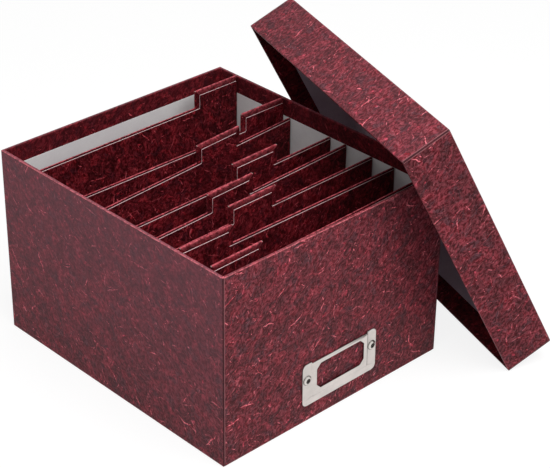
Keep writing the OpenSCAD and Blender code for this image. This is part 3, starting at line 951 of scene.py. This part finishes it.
def greyboard_material():
    """Board made of waste paper: flecked and slightly rough."""
    net = Surface("greyboard")
    cloud = net.solid(0.012, 4.0, 0.65)
    fleck = net.solid(0.0011, 2.0, 0.6)
    ground = net.mix(net.between(cloud, 0.3, 0.7), (0.30, 0.28, 0.25), (0.39, 0.37, 0.33))
    ground = net.mix(net.between(fleck, 0.62, 0.75), ground, (0.15, 0.14, 0.13))
    ground = net.mix(net.between(fleck, 0.36, 0.26), ground, (0.52, 0.49, 0.44))
    return net.finish(ground, 0.9, 0.2, Normal=net.relief(cloud, 0.3, 0.0002))


def nickel_material(name, dull, bright, rough, scratches):
    """Nickel plate with a faint cloud and fine scratches, darkened where the piece marks it: painted shade at
    the bend, painted shadow and dark bare metal at the edges, the rivets' hollows and a painted dark
    reflection at their brims.
    rough is its least and its most roughness.
    """
    net = Surface(name)
    cloud = net.between(net.solid(0.012, 3.0, 0.6), 0.3, 0.7)
    stretch = net.vector("MULTIPLY", net.place, (0.12, 1.0, 1.0))
    scratch = net.noise(stretch, 0.0006, 2.0, 0.6, 0.0, "3D")
    # the mark darkens the nickel: painted shade, painted shadow and dark reflection, dark bare edges and
    # hollows
    ground = net.mix(net.mark("wear"), net.mix(cloud, dull, bright), (0.030, 0.026, 0.024))
    roughness = net.between(scratch, 0.3, 0.7, *rough)
    return net.finish(ground, roughness, Metallic=1.0, Normal=net.relief(scratch, scratches, 0.0001))


fibre = fibre_group()
# Tones of the paper outside: among them the grey of a painted sheen, the pale of wear and painted highlight,
# and the dark of seams and painted shade.
OUTER = dict(
    grey=(0.066, 0.024, 0.032), deep=(0.090, 0.014, 0.019), middle=(0.145, 0.020, 0.029),
    warm=(0.238, 0.029, 0.042), soft=(0.290, 0.055, 0.070), light=(0.850, 0.170, 0.210),
    dark=(0.032, 0.010, 0.013), wear_and_highlight=(0.760, 0.190, 0.220), sheen=(0.292, 0.124, 0.162),
    seam_and_shade=(0.030, 0.006, 0.009), flush=(0.600, 0.060, 0.100), haze=(0.300, 0.150, 0.160),
    grit_and_shading=(0.50, 0.88, 0.80))
# The same paper darker and redder: a shaded copy for the insides and the dividers, which is painted shade
SHADED_TONES = dict(
    grey=(0.040, 0.005, 0.009), deep=(0.050, 0.003, 0.005), middle=(0.098, 0.006, 0.010),
    warm=(0.185, 0.011, 0.017), soft=(0.230, 0.020, 0.027), light=(0.580, 0.075, 0.095),
    dark=(0.018, 0.002, 0.003), wear_and_highlight=(0.570, 0.108, 0.134), sheen=(0.130, 0.023, 0.032),
    seam_and_shade=(0.014, 0.001, 0.002), flush=(0.450, 0.022, 0.036), haze=(0.180, 0.040, 0.048),
    grit_and_shading=(0.52, 0.88, 0.80))
fibre_paper = paper_material("fibre_paper", 0.6, 0.15, OUTER)
fibre_paper_flat = paper_material("fibre_paper_flat", 0.6, 0.15, OUTER, plain=True)
# the insides and the dividers take the shaded copy: painted shade
shaded_inner_paper = paper_material("fibre_paper_inside_shaded", 0.65, 0.08, SHADED_TONES)
divider_paper = paper_material("divider_paper", 0.65, 0.08, SHADED_TONES)
cut_edge = edge_material("cut_edge", (0.27, 0.10, 0.11), (0.08, 0.018, 0.025))
facing_edge = edge_material("facing_edge", (0.66, 0.47, 0.48), (0.26, 0.10, 0.11))
lining_paper = lining_material("lining_paper", (0.79, 0.77, 0.77), (0.74, 0.71, 0.72), (0.66, 0.63, 0.64))
# the lid's lining is the lining paper made darker and purpler: a shaded copy, painted shade
lid_lining = lining_material("lid_lining_shaded_paper", (0.48, 0.40, 0.46), (0.42, 0.34, 0.40), (0.34, 0.27, 0.32))
greyboard = greyboard_material()
satin_nickel = nickel_material("satin_nickel", (0.59, 0.55, 0.52), (0.69, 0.63, 0.60), (0.30, 0.42), 0.08)
bright_nickel = nickel_material("polished_nickel", (0.66, 0.62, 0.58), (0.74, 0.70, 0.67), (0.06, 0.14), 0.03)


# ---- making the object

make_box_wrap()
for body in DIVIDERS:
    turned = divider_axes(body)
    make_divider_wrap(body, turned)
    make_divider_facing(body, turned)
make_lid_wrap(lid_axes())
make_label_holder(holder_axes())
for side in ("left", "right"):
    make_rivet(side)

BY_WORD = (("board", greyboard, "greyboard"), ("lid_lining", lid_lining, "lining_paper"),
           ("wall_lining", lining_paper, "lining_paper"), ("floor_lining", lining_paper, "lining_paper"),
           ("base_sheet", fibre_paper_flat, "fibre_paper"))
for name, node in nodes.items():
    for word, material, slot in BY_WORD:
        if name.endswith(word):
            node.data.materials.clear()
            node.data.materials.append(material)


# ---- stage, light and camera

WHITE = (1, 1, 1)
FLOOR_HALF, FLOOR_DROP = 30.0, 0.0002  # half the floor's width, and how far it lies under the box, in metres
FLOOR_GLOW = 0.86  # its light for the camera
SKY_LEAST, SKY_MORE = 0.17, 0.45  # the sky's light at the horizon, and how much more it has overhead


def seen_directly(net):
    """1 for a ray that comes from the camera or a mirror, and 0 for scattered light."""
    path = net.add("LightPath").outputs
    passed_on = net.math("MAXIMUM", path["Is Glossy Ray"], path["Is Transmission Ray"])
    return net.math("MAXIMUM", path["Is Camera Ray"], passed_on)


def make_floor():
    """White floor: it keeps a faint shadow for the camera, and sends some light back up."""
    corners = [(x * FLOOR_HALF, y * FLOOR_HALF, 0) for x, y in ((-1, -1), (1, -1), (1, 1), (-1, 1))]
    mesh = bpy.data.meshes.new("floor")
    mesh.from_pydata(corners, [], [(0, 1, 2, 3)])
    floor = add_object("floor", mesh)
    floor.location.z = -FLOOR_DROP
    material = bpy.data.materials.new("floor_white")
    material.use_nodes = True
    tree = material.node_tree
    net = Nodes(tree)
    tree.nodes.remove(tree.nodes["Principled BSDF"])
    white = net.add("Emission", {"Color": WHITE, "Strength": FLOOR_GLOW}).outputs[0]
    matt = net.add("BsdfDiffuse", {"Color": (0.18, 0.18, 0.18)}).outputs[0]
    shown = net.add("AddShader", {0: white, 1: matt}).outputs[0]
    bounce = net.add("BsdfDiffuse", {"Color": (0.80, 0.80, 0.80)}).outputs[0]
    both = net.add("MixShader", {0: seen_directly(net), 1: bounce, 2: shown}).outputs[0]
    net.feed(tree.nodes["Material Output"], {"Surface": both})
    mesh.materials.append(material)


def make_world():
    """Soft light from above, brightest overhead, and white behind the object."""
    world = bpy.data.worlds.new("studio")
    scene.world = world
    world.use_nodes = True
    net = Nodes(world.node_tree)
    upward = net.math("MAXIMUM", net.split(net.add("TexCoord").outputs["Generated"])[2], 0.0)
    shade = world.node_tree.nodes["Background"]
    net.feed(shade, {"Color": WHITE, "Strength": net.math("MULTIPLY_ADD", upward, SKY_MORE, SKY_LEAST)})
    white = net.add("Background", {"Color": WHITE, "Strength": 1.0}).outputs[0]
    both = net.add("MixShader", {0: seen_directly(net), 1: shade.outputs[0], 2: white}).outputs[0]
    net.feed(world.node_tree.nodes["World Output"], {"Surface": both})


def make_lamp(name, place, aim, size, power):
    """Square lamp that shines from a place to its aim, in metres and watts."""
    data = bpy.data.lights.new(name, "AREA")
    data.shape = "SQUARE"
    data.size = size
    data.energy = power
    lamp = add_object(name, data)
    lamp.location = place
    lamp.rotation_mode = "QUATERNION"
    lamp.rotation_quaternion = (Vector(aim) - Vector(place)).to_track_quat("-Z", "Y")


def make_camera(azimuth, elevation, roll, distance, target, lens):
    data = bpy.data.cameras.new("camera")
    data.sensor_width = 36.0
    data.lens = lens
    data.clip_start, data.clip_end = 0.05, 100.0
    camera = add_object("camera", data)
    a, e, r = (math.radians(x) for x in (azimuth, elevation, roll))
    back = Vector((math.sin(a) * math.cos(e), -math.cos(a) * math.cos(e), math.sin(e)))
    right = Vector((math.cos(a), math.sin(a), 0.0))
    up = back.cross(right)
    rolled_right = right * math.cos(r) + up * math.sin(r)
    rolled_up = up * math.cos(r) - right * math.sin(r)
    turn = axes_matrix(rolled_right, rolled_up, back).to_4x4()
    camera.matrix_world = Matrix.Translation((Vector(target) + back * distance) * MM) @ turn
    scene.camera = camera


make_floor()
make_world()
make_lamp("softbox", (-0.05, -0.36, 0.83), (0.0, 0.0, 0.1), 0.7, 6.5)
make_camera(azimuth=-43.835, elevation=30.276, roll=0.736, distance=1393.924,
            target=(128.173, 80.53, 0.0), lens=116.416)
scene.view_settings.view_transform = "Standard"
